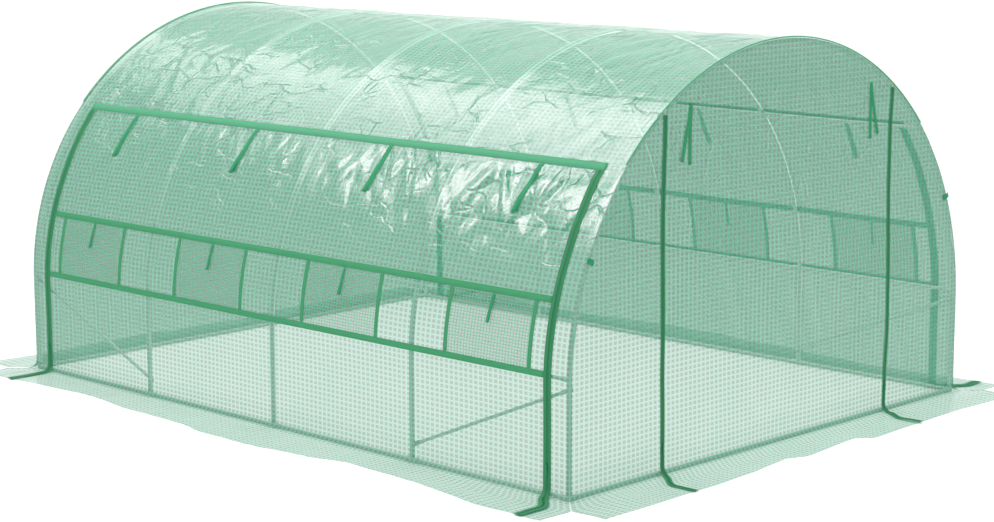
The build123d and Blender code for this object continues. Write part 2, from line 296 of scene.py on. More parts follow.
# %% Mesh helpers
def mesh_piece(name, verts, faces, uvs, material):
    """Smooth-shaded object from points, faces and a UV pair for each point."""
    mesh = bpy.data.meshes.new(name)
    mesh.from_pydata([tuple(v) for v in verts], [], [tuple(int(i) for i in f) for f in faces])
    layer = mesh.uv_layers.new(name="UVMap")
    index = np.zeros(len(mesh.loops), int)
    mesh.loops.foreach_get("vertex_index", index)
    layer.data.foreach_set("uv", np.asarray(uvs, float)[index].ravel())
    mesh.polygons.foreach_set("use_smooth", [True] * len(mesh.polygons))
    mesh.materials.append(material)
    obj = bpy.data.objects.new(name, mesh)
    scene.collection.objects.link(obj)
    return obj


def grid_piece(name, points, uvs, material, keep=None, flip=False):
    """Sheet from arrays of points (rows, columns, 3) and UVs (rows, columns, 2)."""
    rows, cols = points.shape[:2]
    index = np.arange(rows * cols).reshape(rows, cols)
    quads = np.stack([index[:-1, :-1], index[:-1, 1:], index[1:, 1:], index[1:, :-1]], -1)
    if keep is not None:
        quads = quads[keep]
    quads = quads.reshape(-1, 4)
    if flip:
        quads = quads[:, ::-1]
    used, small = np.unique(quads, return_inverse=True)
    return mesh_piece(
        name,
        points.reshape(-1, 3)[used],
        small.reshape(-1, 4),
        uvs.reshape(-1, 2)[used],
        material,
    )


def lines(*stops, step):
    """Grid lines that include every stop, no further apart than step."""
    stops = sorted(stops)
    parts = [
        np.linspace(a, b, max(2, math.ceil((b - a) / step) + 1))
        for a, b in zip(stops, stops[1:])
    ]
    return np.unique(np.round(np.concatenate(parts), 6))


def joined(name, parts):
    """One object from several; it keeps all their materials."""
    for o in bpy.context.selected_objects:
        o.select_set(False)
    for o in parts:
        o.select_set(True)
    bpy.context.view_layer.objects.active = parts[0]
    if len(parts) > 1:
        bpy.ops.object.join()
    parts[0].name = parts[0].data.name = name
    return parts[0]


def unit(vectors):
    return vectors / np.linalg.norm(vectors, axis=1)[:, None]


def run_along(path):
    """Distance along a line at each of its points."""
    return np.concatenate([[0], np.cumsum(np.linalg.norm(np.diff(path, axis=0), axis=1))])


def ring_faces(n, m):
    """Faces of n rings of m points each, with both ends closed."""
    faces = [
        (i * m + j, i * m + (j + 1) % m, (i + 1) * m + (j + 1) % m, (i + 1) * m + j)
        for i in range(n - 1)
        for j in range(m)
    ]
    return faces + [tuple(range(m))[::-1], tuple((n - 1) * m + j for j in range(m))]


# One edge of a ribbon: how far each point is drawn in, as a share of half the thickness, and
# its height as a share of the whole.
ribbon_edge = [(0.0, 0.0), (0.12, 0.55), (1.0, 1.0)]
ribbon_ring = [(-1, *step) for step in ribbon_edge] + [(0, 0.0, 1.0)]
ribbon_ring += [(1, *step) for step in ribbon_edge[::-1]] + [(0, 0.0, -0.001)]


def ribbon(name, centre, normal, width, thick, material):
    """Thin bar along a line. normal points away from the surface under it."""
    centre, normal = np.asarray(centre, float), np.asarray(normal, float)
    n = len(centre)
    along = unit(np.gradient(centre, axis=0))
    across = unit(np.cross(along, normal))
    normal = np.cross(across, along)
    half = np.broadcast_to(np.asarray(width, float) / 2, (n,))
    run = run_along(centre)
    pts, uvs = [], []
    for sign, inset, height in ribbon_ring:
        w = sign * (half - inset * thick / 2)
        pts.append(centre + across * w[:, None] + normal * (height * thick))
        uvs.append(np.stack([run, np.broadcast_to(w, (n,))], -1))
    pts, uvs = np.stack(pts, 1).reshape(-1, 3), np.stack(uvs, 1).reshape(-1, 2)
    return mesh_piece(name, pts, ring_faces(n, len(ribbon_ring)), uvs, material)


# %% [markdown]
# ## Shader arithmetic
#
# A material is easier to read when its sums look like sums. `Wire` holds one output of
# a node tree; `+ - * /` on it add Math nodes, and `node` adds any other node.


# %% Node wrapper
class Wire:
    def __init__(self, tree, out):
        self.tree, self.out = tree, out

    def node(self, kind, settings=None, out=0, **sockets):
        return add_node(self.tree, kind, settings, out, **sockets)

    def sum(self, operation, *values):
        made = self.tree.nodes.new("ShaderNodeMath")
        made.operation = operation
        for socket, value in zip(made.inputs, values):
            plug(self.tree, socket, value)
        return Wire(self.tree, made.outputs[0])

    def __add__(self, other):
        return self.sum("ADD", self, other)

    def __radd__(self, other):
        return self.sum("ADD", other, self)

    def __sub__(self, other):
        return self.sum("SUBTRACT", self, other)

    def __rsub__(self, other):
        return self.sum("SUBTRACT", other, self)

    def __mul__(self, other):
        return self.sum("MULTIPLY", self, other)

    def __rmul__(self, other):
        return self.sum("MULTIPLY", other, self)

    def __truediv__(self, other):
        return self.sum("DIVIDE", self, other)

    def __rtruediv__(self, other):
        return self.sum("DIVIDE", other, self)

    def step(self, low, high, to_low=0.0, to_high=1.0):
        return self.node(
            "ShaderNodeMapRange",
            {"interpolation_type": "SMOOTHSTEP"},
            Value=self,
            From_Min=low,
            From_Max=high,
            To_Min=to_low,
            To_Max=to_high,
        )

    def mix(self, a, b):
        """Colour a where this is 0 and b where it is 1."""
        made = self.tree.nodes.new("ShaderNodeMix")
        made.data_type = "RGBA"
        plug(self.tree, made.inputs[0], self)
        plug(self.tree, made.inputs[6], a)
        plug(self.tree, made.inputs[7], b)
        return Wire(self.tree, made.outputs[2])


def plug(tree, socket, value):
    if isinstance(value, Wire):
        tree.links.new(value.out, socket)
    elif isinstance(value, tuple) and len(value) == 3 and socket.type == "RGBA":
        socket.default_value = (*value, 1.0)
    else:
        socket.default_value = value


def add_node(tree, kind, settings=None, out=0, **sockets):
    made = tree.nodes.new(kind)
    for key, value in (settings or {}).items():
        setattr(made, key, value)
    for key, value in sockets.items():
        plug(tree, made.inputs[key.replace("_", " ")], value)
    return Wire(tree, made.outputs[out])


def material(name, look):
    """Material whose Principled shader is set by what look(tree) returns."""
    made = bpy.data.materials.new(name)
    made.use_nodes = True
    shader = made.node_tree.nodes["Principled BSDF"]
    for key, value in look(made.node_tree).items():
        plug(made.node_tree, shader.inputs[key], value)
    return made


def uv_parts(tree):
    """The piece's own UV map, and its two numbers by themselves."""
    uv = add_node(tree, "ShaderNodeUVMap", {"uv_map": "UVMap"})
    u, v = (uv.node("ShaderNodeSeparateXYZ", out=k, Vector=uv) for k in (0, 1))
    return uv, u, v


def bump(tree, height, distance, strength=1.0):
    return add_node(tree, "ShaderNodeBump", Strength=strength, Distance=distance, Height=height)


# %% [markdown]
# ## Reinforced film
#
# The cover is clear green polythene laminated over an open scrim: bands of tape cross
# about 3 cm apart. The bands are milky and catch the light, and the cells between them
# are clearer. It is glossy, so small wrinkles show as bright flecks. The pattern is
# worked out in the shader, so it needs no picture and stays sharp from close by. Real
# film scatters light inside it; alpha lets the frame and the far wall show through
# instead, which is quicker and suits any renderer.

# %% Film material
scrim_u, scrim_v = 0.0315, 0.0245


def scrim(u, v, pitch_u, pitch_v, half_u, half_v, soft=0.03):
    """1 on the threads of an open weave and 0 in its cells."""
    bands = []
    for part, pitch, half in ((u, pitch_u, half_u), (v, pitch_v, half_v)):
        near = (part / pitch).sum("PINGPONG", part / pitch, 0.5)
        bands.append(near.step(half - soft, half + soft, 1.0, 0.0))
    return bands[0].sum("MAXIMUM", bands[0], bands[1])


def film_look(tree, gloss=0.5, painted_shade_scale=1.0):
    """Film; a scale below 1 darkens its colours as painted shade, and gloss is its specular level.
    """
    cell = tuple(painted_shade_scale * tone for tone in (0.100, 0.152, 0.128))
    band = tuple(painted_shade_scale * tone for tone in (0.008, 0.330, 0.168))
    cell_alpha, band_alpha = 0.72, 0.605
    uv, u, v = uv_parts(tree)
    grid = scrim(u, v, scrim_u, scrim_v, 0.19, 0.18)
    age = uv.node("ShaderNodeTexNoise", Vector=uv, Scale=2.3, Detail=4.0, Roughness=0.55)
    wrinkle = uv.node(
        "ShaderNodeTexNoise", Vector=uv, Scale=26.0, Detail=3.0, Roughness=0.5, Distortion=0.6
    )
    fold = wrinkle.sum("ABSOLUTE", wrinkle - 0.5) * 0.4
    # Sharp creases run between the cells of two warped, stretched cell patterns.
    warp = uv.node("ShaderNodeTexNoise", out=1, Vector=uv, Scale=3.0, Detail=2.0)
    bent = warp.node("ShaderNodeVectorMath", {"operation": "MULTIPLY_ADD"}, Vector=warp)
    bent.out.node.inputs[1].default_value = (0.35, 0.35, 0.0)
    tree.links.new(uv.out, bent.out.node.inputs[2])
    high = v.step(0.95, 1.40, 0.12, 1.0)
    for stretch, scale, part in (((1.0, 2.6, 1.0), 2.6, 0.45), ((2.2, 0.9, 1.0), 3.4, 0.52)):
        laid = bent.node("ShaderNodeVectorMath", {"operation": "MULTIPLY"}, Vector=bent)
        laid.out.node.inputs[1].default_value = stretch
        gap = laid.node(
            "ShaderNodeTexVoronoi", {"feature": "DISTANCE_TO_EDGE"}, Vector=laid, Scale=scale
        )
        fold = fold + gap.step(0.0, 0.035, 1.0, 0.0) * age.step(part, part + 0.08) * high * 1.7
    return {
        "Base Color": (grid + (age - 0.5) * 0.2).mix(cell, band),
        "Roughness": age.step(0.3, 0.7, 0.11, 0.17),
        "IOR": 1.5,
        "Specular IOR Level": gloss,
        "Alpha": cell_alpha - grid * (cell_alpha - band_alpha) + (age - 0.5) * 0.05,
        "Normal": bump(tree, fold + grid * 0.012, 0.0030, 0.8),
    }


film = material("film", film_look)
# The foot's colours are darkened by 0.88 as painted shade: a sheet lying on the floor faces the
# light above and would come out brighter than the walls.
film_foot = material("film_foot", lambda tree: film_look(tree, gloss=0.05, painted_shade_scale=0.88))
print("film", len(film.node_tree.nodes), "nodes")


def foot_faces(piece):
    """Gives the bend and the skirt of a sheet the foot of the film: less gloss, and colours
    darkened as painted shade.
    """
    mesh = piece.data
    mesh.materials.append(film_foot)
    uv = np.zeros(2 * len(mesh.loops))
    mesh.uv_layers[0].data.foreach_get("uv", uv)
    low = uv.reshape(-1, 4, 2)[..., 1].mean(axis=1) < 0.05
    mesh.polygons.foreach_set("material_index", low.astype(np.int32))


# %% [markdown]
# ## Window net, tapes, zips and webbing
#
# The windows are a fine woven net, so its alpha is the weave itself. Seams and window
# edges are bound with woven polythene tape, the zips are sewn to a darker tape, and the
# ties are ribbed webbing. Modelled threads would take millions of faces, so each one is
# a weave at its own pitch, and one function makes all but the net.


# %% Woven materials
def net_look(tree):
    uv, u, v = uv_parts(tree)
    grid = scrim(u, v, 0.0190, 0.0145, 0.21, 0.21, 0.04)
    age = uv.node("ShaderNodeTexNoise", Vector=uv, Scale=5.0, Detail=3.0)
    return {
        "Base Color": (grid + (age - 0.5) * 0.2).mix((0.085, 0.110, 0.090), (0.040, 0.285, 0.155)),
        "Roughness": age.step(0.3, 0.7, 0.5, 0.65),
        "Alpha": grid * 0.22 + 0.62,
        "Normal": bump(tree, grid, 0.0006),
    }


def weave_look(dark, light, pitch, roughness=0.5, distance=0.0004):
    def look(tree):
        uv, u, v = uv_parts(tree)
        warp = (u / pitch * math.tau).sum("SINE", u / pitch * math.tau)
        weft = (v / pitch * math.tau).sum("SINE", v / pitch * math.tau)
        cloth = warp * weft * 0.5 + 0.5
        age = uv.node("ShaderNodeTexNoise", Vector=uv, Scale=14.0, Detail=4.0, Roughness=0.6)
        return {
            "Base Color": (cloth * 0.45 + age * 0.7 - 0.1).mix(dark, light),
            "Roughness": age.step(0.3, 0.7, roughness - 0.06, roughness + 0.08),
            "Specular IOR Level": 0.12,
            "Normal": bump(tree, cloth + age * 0.8, distance),
        }

    return look


net = material("window_net", net_look)
seam_tape_mat, window_tape_mat, zip_tape_mat, webbing_mat, coil_mat, thread_mat = (
    material(name, weave_look(*finish))
    for name, *finish in (
        ("seam_tape", (0.045, 0.25, 0.128), (0.075, 0.325, 0.17), 0.0032, 0.7),
        ("window_tape", (0.034, 0.225, 0.097), (0.055, 0.30, 0.137), 0.0032, 0.7),
        ("zip_tape", (0.024, 0.18, 0.073), (0.040, 0.25, 0.11), 0.0016, 0.7),
        ("webbing", (0.02, 0.21, 0.09), (0.04, 0.30, 0.14), 0.0022, 0.75, 0.0006),
        ("zip_coil", (0.018, 0.13, 0.055), (0.030, 0.18, 0.08), 0.004, 0.5),
        ("thread", (0.05, 0.20, 0.11), (0.09, 0.30, 0.17), 0.002, 0.6),
    )
)
print("woven materials made")

# %% [markdown]
# ## Frame tubes
#
# The hoops and rails are thin steel tube with a pale powder coat, which is slightly
# orange-peeled and picks up dust. Its colours here are a darker green-grey: painted green
# light and shade, for the light that reaches the tubes through the green film. One even
# colour would do from afar; close by, the coat needs a fine bump and slow changes of colour
# and shine. The bolts are bare zinc.


# %% Tube material
def coat_look(tree):
    at = add_node(tree, "ShaderNodeTexCoord", out=3)
    peel = at.node("ShaderNodeTexNoise", Vector=at, Scale=420.0, Detail=2.0)
    dust = at.node("ShaderNodeTexNoise", Vector=at, Scale=6.0, Detail=5.0, Roughness=0.6)
    return {
        # Both colours are darkened and tinted green as painted light and shade from the film; the
        # dust mottle between them is the coat's own.
        "Base Color": dust.mix((0.29, 0.40, 0.345), (0.37, 0.48, 0.425)),
        "Roughness": dust.step(0.35, 0.7, 0.30, 0.40),
        "Normal": bump(tree, peel, 0.0002, 0.6),
    }


coat = material("powder_coat", coat_look)


def bolt_look(tree):
    at = add_node(tree, "ShaderNodeTexCoord", out=3)
    grain = at.node("ShaderNodeTexNoise", Vector=at, Scale=300.0, Detail=3.0)
    return {
        "Base Color": grain.mix((0.42, 0.43, 0.42), (0.62, 0.63, 0.62)),
        "Metallic": 1.0,
        "Roughness": grain.step(0.3, 0.7, 0.3, 0.5),
    }


zinc = material("zinc", bolt_look)
print("tube materials", coat.name, zinc.name)

# %% [markdown]
# ## Geometry Nodes for what follows a path
#
# One tree turns a line into round tube, which also makes the six-sided bolt heads, and
# another sets small bars along a row of points: stitches and zip teeth. Copying an object
# thousands of times in Python is slow, and a tree does it at once. The result is kept
# as a plain mesh.


# %% Geometry Nodes trees
def new_tree(name, inputs):
    tree = bpy.data.node_groups.new(name, "GeometryNodeTree")
    face = tree.interface
    face.new_socket("Geometry", in_out="INPUT", socket_type="NodeSocketGeometry")
    for label, kind, value in inputs:
        made = face.new_socket(label, in_out="INPUT", socket_type=kind)
        if value is not None:
            made.default_value = value
    face.new_socket("Geometry", in_out="OUTPUT", socket_type="NodeSocketGeometry")
    start, end = tree.nodes.new("NodeGroupInput"), tree.nodes.new("NodeGroupOutput")
    return tree, {s.name: Wire(tree, s) for s in start.outputs if s.name}, end


def finish_tree(tree, geometry, mat, end):
    real = geometry.node("GeometryNodeRealizeInstances", Geometry=geometry)
    coated = real.node("GeometryNodeSetMaterial", Geometry=real, Material=mat)
    plug(tree, end.inputs[0], coated)


def apply_tree(obj, tree, **values):
    """Runs the tree on obj, keeps the result as its mesh and drops the modifier."""
    named = {i.name: i.identifier for i in tree.interface.items_tree if i.in_out == "INPUT"}
    modifier = obj.modifiers.new("nodes", "NODES")
    modifier.node_group = tree
    for key, value in values.items():
        modifier[named[key.replace("_", " ")]] = value
    graph = bpy.context.evaluated_depsgraph_get()
    mesh = bpy.data.meshes.new_from_object(obj.evaluated_get(graph))
    name = obj.name
    bpy.data.objects.remove(obj)
    mesh.name = name
    made = bpy.data.objects.new(name, mesh)
    scene.collection.objects.link(made)
    return made


def carrier(name, points, edges, **values):
    """Points or a line, with a number or a direction at each point for a tree to read."""
    mesh = bpy.data.meshes.new(name)
    mesh.from_pydata([tuple(p) for p in points], edges, [])
    for label, value in values.items():
        value = np.asarray(value, float)
        kind, field = ("FLOAT", "value") if value.ndim == 1 else ("FLOAT_VECTOR", "vector")
        mesh.attributes.new(label, kind, "POINT").data.foreach_set(field, value.ravel())
    obj = bpy.data.objects.new(name, mesh)
    scene.collection.objects.link(obj)
    return obj


tube_inputs = [
    ("Radius", "NodeSocketFloat", 0.01),
    ("Sides", "NodeSocketInt", 20),
    ("Material", "NodeSocketMaterial", None),
]
tube_tree, given, end = new_tree("tube", tube_inputs)
line = given["Geometry"].node("GeometryNodeMeshToCurve", Mesh=given["Geometry"])
size = line.node("GeometryNodeInputNamedAttribute", {"data_type": "FLOAT"}, Name="swell")
line = line.node("GeometryNodeSetCurveRadius", Curve=line, Radius=size)
ring = line.node(
    "GeometryNodeCurvePrimitiveCircle", Resolution=given["Sides"], Radius=given["Radius"]
)
body = line.node("GeometryNodeCurveToMesh", Curve=line, Profile_Curve=ring, Fill_Caps=True)
finish_tree(tube_tree, body, given["Material"], end)

bar_inputs = [
    ("Size", "NodeSocketVector", (0.004, 0.001, 0.001)),
    ("Material", "NodeSocketMaterial", None),
]
bar_tree, given, end = new_tree("bars", bar_inputs)
bar = given["Geometry"].node("GeometryNodeMeshCube", Size=given["Size"])
along, out = (
    bar.node("GeometryNodeInputNamedAttribute", {"data_type": "FLOAT_VECTOR"}, Name=label)
    for label in ("along", "out")
)
turn = bar.node(
    "FunctionNodeAxesToRotation",
    {"primary_axis": "X", "secondary_axis": "Z"},
    Primary_Axis=along,
    Secondary_Axis=out,
)
set_out = bar.node(
    "GeometryNodeInstanceOnPoints", Points=given["Geometry"], Instance=bar, Rotation=turn
)
finish_tree(bar_tree, set_out, given["Material"], end)


def tube(name, path, radius, mat, sides=20, swell=None):
    """Round tube along a line of points; swell scales its radius at each point."""
    edges = [(i, i + 1) for i in range(len(path) - 1)]
    obj = carrier(name, path, edges, swell=np.ones(len(path)) if swell is None else swell)
    obj = apply_tree(obj, tube_tree, Radius=radius, Sides=sides, Material=mat)
    obj.data.polygons.foreach_set("use_smooth", [len(p.vertices) == 4 for p in obj.data.polygons])
    return obj


def bars(name, centre, along, out, size, mat):
    """Small bars at points, each turned by its along and out directions."""
    return apply_tree(
        carrier(name, centre, [], along=along, out=out), bar_tree, Size=size, Material=mat
    )


def every(path, normal, pitch):
    """Points, directions and normals at equal steps along a line."""
    path, normal = np.asarray(path, float), np.asarray(normal, float)
    run = run_along(path)
    spots = np.arange(pitch / 2, run[-1], pitch)

    def at(values):
        return np.stack([np.interp(spots, run, values[:, i]) for i in range(3)], -1)

    return at(path), unit(at(np.gradient(path, axis=0))), at(normal)


print("trees", tube_tree.name, bar_tree.name)

# %% [markdown]
# ## Hoops, rails and braces
#
# A hoop comes as five tubes whose swaged ends push into each other, so a fine step shows
# at each joint, with a sleeve wherever a rail meets it. One long tube would be quicker,
# but it would lose those steps. The rails are separate tubes in each bay. The braces are
# flattened at their ends and bolted to the legs, from the foot of the second hoop to
# just under the mid rail at the end hoop; they are rings of points that change from flat
# to round, which a curve with one profile can't do.

# %% Hoops
leg_joint, crown_joint = mid_rail_s + 0.052, seam_s + 0.052
socket_r, socket_reach = 0.012, 0.042


def tube_point(s, y, side):
    x, z, _, _ = wall(s, 0.0, side)
    low = np.asarray(s) < bend_r
    x = np.where(low, side * half_width, x)
    z = np.where(low, s, z)
    return np.stack([x, np.full(np.shape(x), float(y)), z], -1)


def hoop_path(low, high, y, side):
    """Points of one tube, with a slight step where the next one enters it."""
    s = lines(low, low + 0.004, high - 0.034, high - 0.03, high, step=0.03)
    return tube_point(s, y, side), np.where((s > high - 0.032) & (s < high - 0.001), 1.035, 1.0)


mid_x, mid_z, _, _ = wall(mid_rail_s, 0.0, 1)
seam_x, seam_z, _, _ = wall(seam_s, 0.0, 1)
rail_spots = {
    "ridge_rail": (0.0, apex_height),
    "shoulder_rail_left": (-seam_x, seam_z),
    "shoulder_rail_right": (seam_x, seam_z),
    "mid_rail_left": (-mid_x, mid_z),
    "mid_rail_right": (mid_x, mid_z),
    "base_rail_left": (-half_width, base_rail_z),
    "base_rail_right": (half_width, base_rail_z),
}

for number, y in enumerate(hoop_y, 1):
    parts = []
    for side in (-1, 1):
        for low, high in ((0.0, leg_joint), (leg_joint, crown_joint)):
            path, swell = hoop_path(low, high, y, side)
            parts.append(tube("part", path, hoop_r, coat, swell=swell))
    s = lines(crown_joint, s_join, s_ridge, step=0.04)
    path = np.concatenate([tube_point(s, y, -1), tube_point(s, y, 1)[::-1][1:]])
    parts.append(tube("part", path, hoop_r, coat))
    low = y - (socket_reach if y > hoop_y[0] else 0.0)
    high = y + (socket_reach if y < hoop_y[-1] else 0.0)
    for x, z in rail_spots.values():
        path = [(x, v, z) for v in (low, low + 0.002, high - 0.002, high)]
        parts.append(tube("part", path, socket_r, coat, swell=[0.94, 1, 1, 0.94]))
    if y in (hoop_y[0], hoop_y[-1]):
        for side in (-1, 1):
            xs = [side * half_width, side * (half_width - socket_reach)]
            parts.append(tube("part", [(x, y, base_rail_z) for x in xs], socket_r, coat))
    hoop = joined(f"hoop_{number}_tubes", parts)
    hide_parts(f"hoop_{number}")
    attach(hoop, "root")
print("hoops", len(hoop_y))

# %% Rails and braces
rail_r, rail_gap = 0.0095, 0.016   # a rail's end stops this far from a hoop's middle
bay = hoop_y[1] - hoop_y[0]
brace_inset = 0.0128               # from the middle of a leg to the brace on its inner side
brace_foot, brace_top = (1.0, 0.085), (2.0, 0.505)   # place along the tunnel, and height
tab_half, brace_r = 0.0015, 0.008

for name, (x, z) in rail_spots.items():
    parts = []
    for y in hoop_y[:-1]:
        path = [(x, y + v, z) for v in (rail_gap, bay / 2, bay - rail_gap)]
        parts.append(tube("part", path, rail_r, coat, sides=16))
    rail = joined(f"{name}_tubes", parts)
    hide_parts(name)
    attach(rail, "root")
for name, y in (("end_rail_front", -half_length), ("end_rail_back", half_length)):
    path = [(x, y, base_rail_z) for x in (rail_gap - half_width, 0, half_width - rail_gap)]
    rail = tube(f"{name}_tube", path, rail_r, coat, sides=16)
    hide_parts(name)
    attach(rail, "root")


def brace(x, side, foot, top):
    """Tube with flattened ends, as rings of points from one bolt to the other."""
    foot, top = np.array([x, *foot]), np.array([x, *top])
    length = np.linalg.norm(top - foot)
    way = (top - foot) / length
    out = np.array([-side, 0.0, 0.0])
    across = np.cross(way, out)
    # One end: distance from the bolt, half width and half thickness.
    flat = [(-0.008, 0.009, tab_half), (-0.0075, 0.011, tab_half), (0.030, 0.011, tab_half)]
    flat += [(0.048, 0.010, 0.0045), (0.060, brace_r, brace_r)]
    rings = flat + [(length - t, a, b) for t, a, b in flat[::-1]]
    pts, sides = [], 20
    for t, a, b in rings:
        power = 0.45 if b == tab_half else 1.0
        for k in range(sides):
            c, s = math.cos(math.tau * k / sides), math.sin(math.tau * k / sides)
            pts.append(
                foot + way * t + across * a * math.copysign(abs(c) ** power, c)
                + out * (tab_half + b * math.copysign(abs(s) ** power, s))
            )
    faces = ring_faces(len(rings), sides)
    return mesh_piece("part", pts, faces, np.zeros((len(pts), 2)), coat)


for name, side in (("braces_left", -1), ("braces_right", 1)):
    x = side * (half_width - brace_inset)
    parts = []
    for end_way in (-1, 1):
        foot, top = ((end_way * y, z) for y, z in (brace_foot, brace_top))
        parts.append(brace(x, side, foot, top))
        for y, z in (foot, top):
            head = [(x - side * v, y, z) for v in (0.003, 0.0035, 0.0075, 0.008)]
            parts.append(tube("part", head, 0.0055, zinc, sides=6, swell=[1.25, 1.25, 1.0, 0.8]))
    braces = joined(f"{name}_tubes", parts)
    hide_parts(name)
    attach(braces, "root")
print("rails and braces done")

# %% [markdown]
# ## The roof sheet
#
# The roof is one sheet from seam to seam. It was folded for packing, so creases run
# along and across it. They could be sculpted one by one, but scattered with a fixed
# seed they come out the same each time. They are sharpest between the hoops, because
# the hoops pull the sheet tight.

# %% Roof
roof_step, roof_half = 0.0118, s_ridge - seam_s
roof_v = 3.0   # lifts the roof's UVs above the walls', where the film is fully creased
ys = lines(-end_y, *hoop_y, end_y, step=roof_step)
ws = lines(-roof_half, 0.0, roof_half, step=roof_step)
Y, W = np.meshgrid(ys, ws)
S = s_ridge - np.abs(W)
free, calm = span(Y), seam_calm(S)
to_right = smooth(W + 0.5)
height = wall_relief(S, Y, -1) * (1 - to_right) + wall_relief(S, Y, 1) * to_right
box = (-half_length, half_length, -roof_half, roof_half)
folded = creases(
    Y, W, count=110, seed=31, box=box, sizes=(0.15, 0.6), height=0.0040, width=0.014
)
height += calm * (0.25 + 0.75 * free) * folded
height += calm * (0.3 + 0.7 * free) * 0.003 * noise(Y / 0.16, W / 0.4, 32)
on_hoop = smooth(1 - np.abs(((Y + 2.5) % 1.0) - 0.5) / 0.03)
height = height * (1 - on_hoop) + np.maximum(height, -0.0005) * on_hoop
x, z, _, _ = wall(S, film_mid + height, np.where(W < 0, -1.0, 1.0))
roof = grid_piece("roof_film", np.stack([x, Y, z], -1), np.stack([Y, W + roof_v], -1), film)
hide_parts("roof_sheet")
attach(roof, "root")
print("roof", len(roof.data.polygons), "faces")

# %% [markdown]
# ## Side panels
#
# A side panel hangs from the top seam between two zips, has four net windows, and
# bends outwards at the foot into a ground skirt whose edge is cut freehand and wavy.
# A Boolean could cut the windows, but it leaves ragged faces, so the grid has lines at
# their edges and leaves them out, and the net fills them.

# %% Skirts
# The skirts' cut edges, as places along the wall and how far out each one reaches there.
edge_y = [-2.1, -1.97, -1.65, -1.3, -0.8, -0.61, -0.14, 0.18, 0.35, 0.73, 1.29, 1.53, 1.9, 2.1]
edge_x = [1.815, 1.83, 1.836, 1.765, 1.745, 1.80, 1.838, 1.835, 1.80, 1.79, 1.73, 1.755, 1.79, 1.79]
front_x = [-1.6, -0.99, -0.47, -0.17, -0.06, 0.2, 0.375, 0.455, 0.82, 1.2, 1.45, 1.6]
front_reach = [2.325, 2.315, 2.305, 2.26, 2.305, 2.28, 2.26, 2.315, 2.31, 2.29, 2.31, 2.30]
film_step = 0.0125
tuck = 0.007              # of film and net under the window tapes
zip_gap = 0.003           # from the middle of a zip to the film beside it
seam_gap = 0.0003         # from the wall's film to the roof's, under the seam tape
corner_pull = 0.115       # sideways, of a skirt at a corner
skirt_rows_from = -0.26   # before the rows are stretched to the cut edge
opening_low, opening_high = window_low + tuck, window_high - tuck


def skirt_length(y, side):
    """Length of skirt beyond the bend, at a place along the tunnel."""
    reach = np.interp(y if side < 0 else -y, edge_y, edge_x)
    return reach - (half_width + film_mid + bend_r)


def to_edge(s, start, length):
    """Rows of the skirt, stretched so that the one at start lies on the cut edge."""
    return np.where(s < s_flat, s_flat - (s - s_flat) / (start - s_flat) * length, s)


def at_corner(s):
    """Sideways shift at a corner, where the two skirts meet along the diagonal."""
    return np.minimum(gone_out(s), corner_pull)


def at_zip(s):
    """Sideways shift at a zip, which turns in a soft curve."""
    return corner_pull * smooth(gone_out(s) / 0.17)


def pulled(s, y):
    """How far a side skirt is drawn along the wall as it goes out over the floor."""
    front, back = (np.clip((w * y - side_zip_y) / (end_y - side_zip_y), 0, 1) for w in (-1, 1))
    near_zip = smooth((-y - 1.2) / 0.65) * (1 - front)
    return at_corner(s) * (back - front) - at_zip(s) * near_zip


def wall_grid(ys, side, *stops):
    """Rows, points and UVs of the wall, from the skirt's cut edge up to the seam."""
    stops = (skirt_rows_from, s_flat, bend_r, 0.1, *stops, seam_s - seam_gap)
    ss = lines(*stops, step=film_step)
    Y, S = np.meshgrid(ys, ss)
    S = to_edge(S, ss[0], skirt_length(Y, side))
    x, z, _, _ = wall(S, film_mid + wall_relief(S, Y, side), side)
    return ss, np.stack([x, Y + pulled(S, Y), z], -1), np.stack([Y, S], -1)


print("left skirt half-way along", round(float(skirt_length(0.0, -1)), 3), "m past the bend")

# %% Side panels
for word, side in both_sides:
    cuts = [p + e * tuck for p, e in zip(window_posts, (1, -1) * len(bay_middles))]
    inner = side_zip_y - zip_gap
    ys = lines(-inner, *hoop_y[1:-1], *cuts, inner, step=film_step)
    ss, points, uvs = wall_grid(ys, side, opening_low, opening_high)
    mid_y, mid_s = (ys[:-1] + ys[1:]) / 2, (ss[:-1] + ss[1:]) / 2
    in_window = np.zeros(len(mid_y), bool)
    for low, high in zip(cuts[::2], cuts[1::2]):
        in_window |= (mid_y > low) & (mid_y < high)
    keep = ~(((mid_s > opening_low) & (mid_s < opening_high))[:, None] & in_window[None, :])
    sheet = grid_piece(f"side_film_{word}", points, uvs, film, keep, flip=side > 0)
    foot_faces(sheet)
    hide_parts(f"side_panel_{word}", f"skirt_{word}")
    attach(sheet, "root")
    print(sheet.name, len(sheet.data.polygons), "faces")

# %% Window nets
net_half = window_width / 2 - tuck
opening_mid, opening_height = (opening_low + opening_high) / 2, opening_high - opening_low
ss = np.linspace(opening_low, opening_high, 17)
for word, side in both_sides:
    parts = []
    for m in bay_middles:
        Y, S = np.meshgrid(np.linspace(m - net_half, m + net_half, 26), ss)
        u, v = (Y - m) / net_half, (S - opening_mid) / opening_height * 2
        belly = 0.004 * (1 - u**2) * (1 - v**2) + 0.0012 * noise(Y / 0.09, S / 0.07, 51)
        x, z, _, _ = wall(S, film_mid + wall_relief(S, Y, side) - belly, side)
        points, uvs = np.stack([x, Y, z], -1), np.stack([Y, S], -1)
        parts.append(grid_piece("part", points, uvs, net, flip=side > 0))
    nets = joined(f"window_nets_{word}", parts)
    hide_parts(f"windows_{word}")
    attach(nets, "root")
print("window nets", len(bay_middles) * 2)

# %% [markdown]
# ## Corner strips and end sheets
#
# Beyond each zip a narrow strip of the cover goes round the corner hoop. The front
# sheet is split by the two door zips, and the back sheet is whole. All of them end in
# skirts that spread on the floor. The end sheets' columns reach up to the arch, each to
# its own height, because a square sheet cut to an arch would have a stepped edge.

